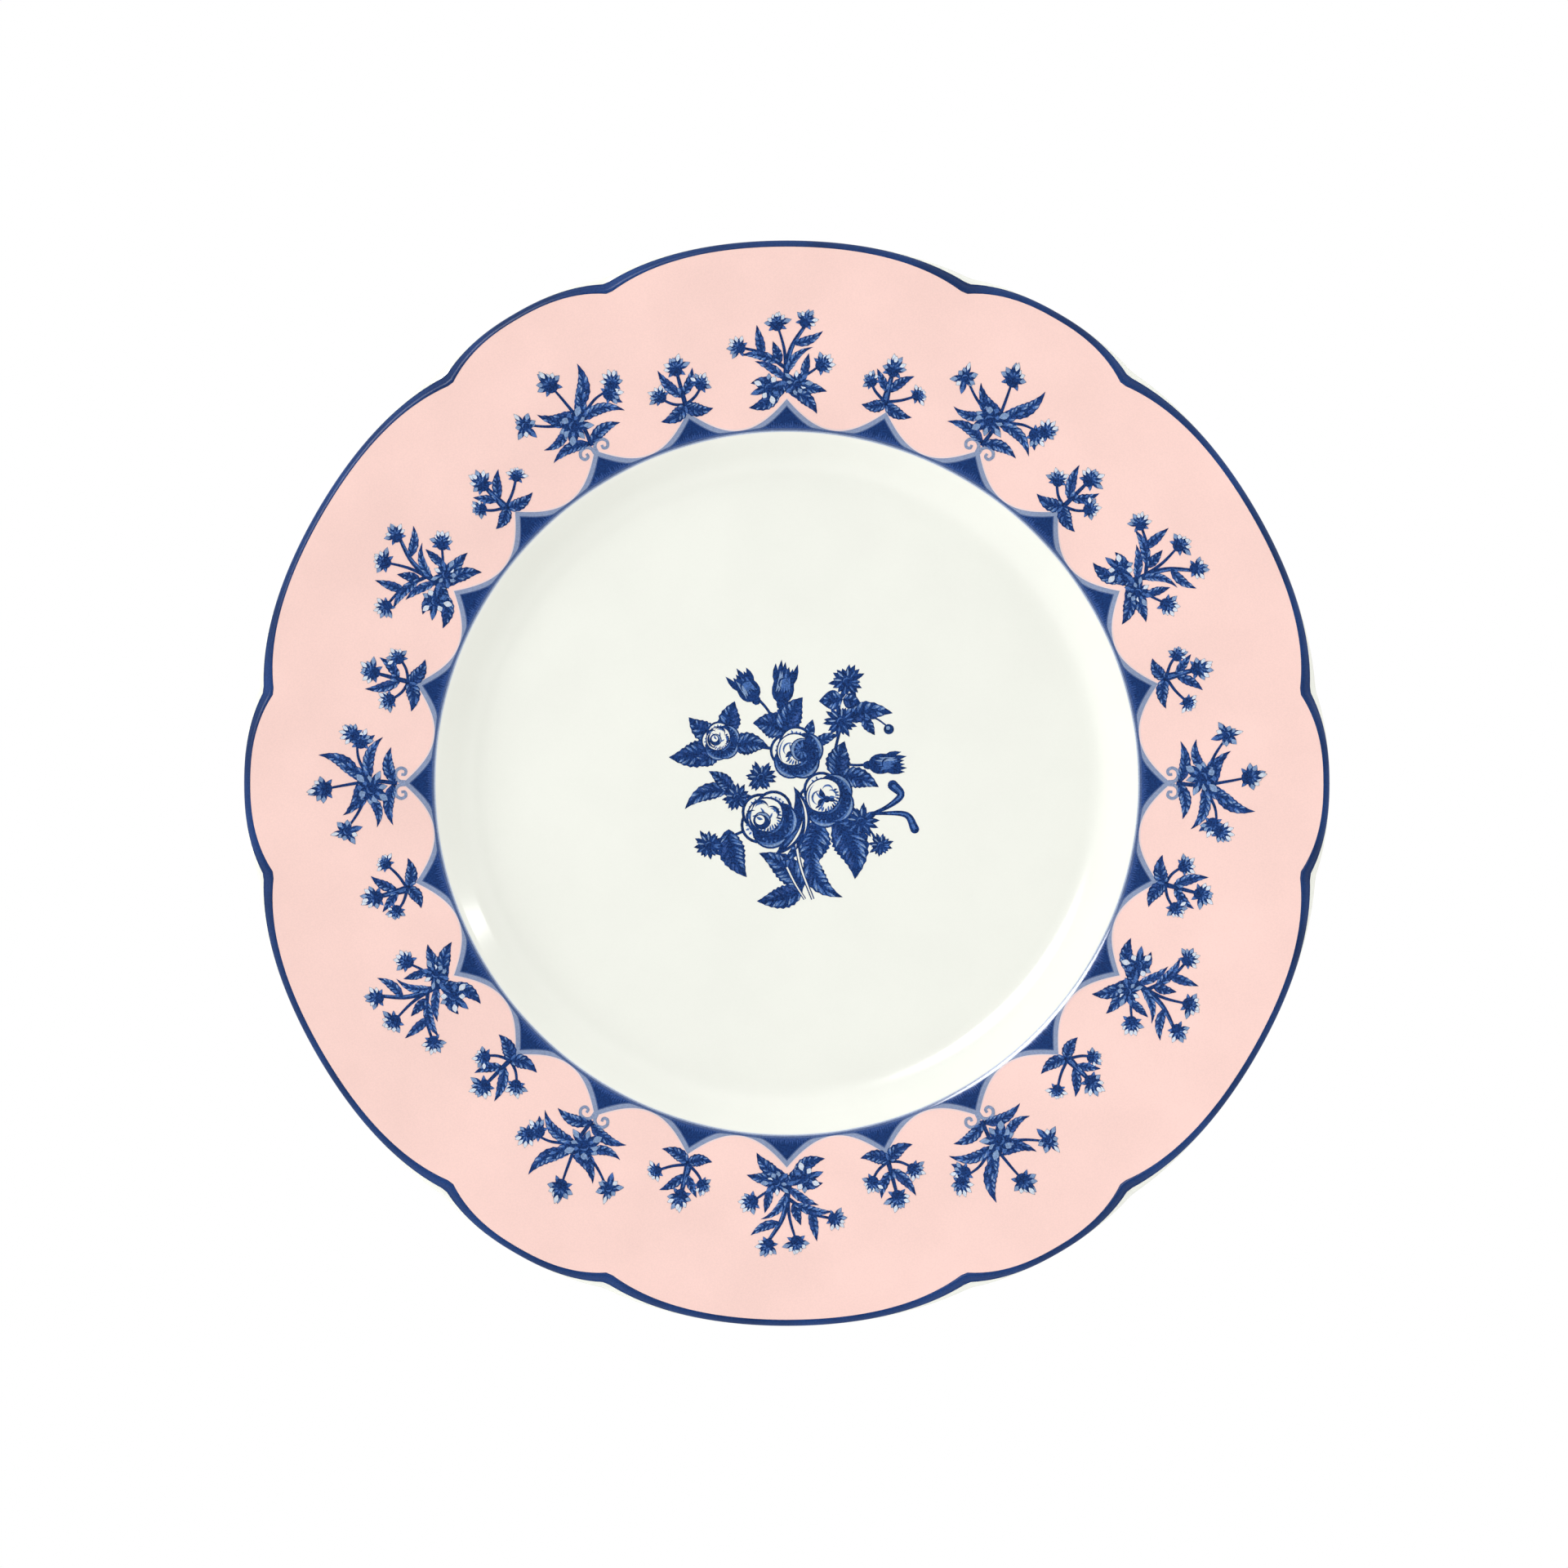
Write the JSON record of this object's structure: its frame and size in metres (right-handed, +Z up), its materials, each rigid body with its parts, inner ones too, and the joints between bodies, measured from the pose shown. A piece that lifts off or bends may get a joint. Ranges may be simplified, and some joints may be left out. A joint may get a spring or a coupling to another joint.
{
  "type": "dinner plate",
  "caption": "Round porcelain dinner plate with a scalloped lip, a wide pink rim with blue floral sprays, a dark blue lip line and a white well with a rose bouquet.",
  "frame": {"origin": "centre of the foot ring's standing face, on the table", "axes": "+Z up along the plate's axis; +Y towards the tall spray above the bouquet, so the bouquet reads upright from the -Y side"},
  "size_m": [0.27, 0.27, 0.0216],
  "materials": {
    "porcelain": "glossy off-white glaze, bare and matt on the foot ring",
    "rim_ground": "glossy pale pink ground colour",
    "lip_line": "glossy dark blue painted line",
    "arcade_print": "glossy blue print",
    "blue_print": "glossy blue print"
  },
  "bodies": {
    "root": {"plate_body": "porcelain", "rim_colour_ground": "rim_ground", "lip_line_band": "lip_line", "arcade_border_transfer": "arcade_print", "centre_bouquet_transfer": "blue_print", "scroll_spray_transfer_1": "blue_print", "scroll_spray_transfer_2": "blue_print", "scroll_spray_transfer_3": "blue_print", "scroll_spray_transfer_4": "blue_print", "scroll_spray_transfer_5": "blue_print", "scroll_spray_transfer_6": "blue_print", "tall_spray_transfer_1": "blue_print", "tall_spray_transfer_2": "blue_print", "tall_spray_transfer_3": "blue_print", "tall_spray_transfer_4": "blue_print", "tall_spray_transfer_5": "blue_print", "tall_spray_transfer_6": "blue_print", "left_sprig_transfer_1": "blue_print", "left_sprig_transfer_2": "blue_print", "left_sprig_transfer_3": "blue_print", "left_sprig_transfer_4": "blue_print", "left_sprig_transfer_5": "blue_print", "left_sprig_transfer_6": "blue_print", "right_sprig_transfer_1": "blue_print", "right_sprig_transfer_2": "blue_print", "right_sprig_transfer_3": "blue_print", "right_sprig_transfer_4": "blue_print", "right_sprig_transfer_5": "blue_print", "right_sprig_transfer_6": "blue_print"}
  },
  "joints": []
}
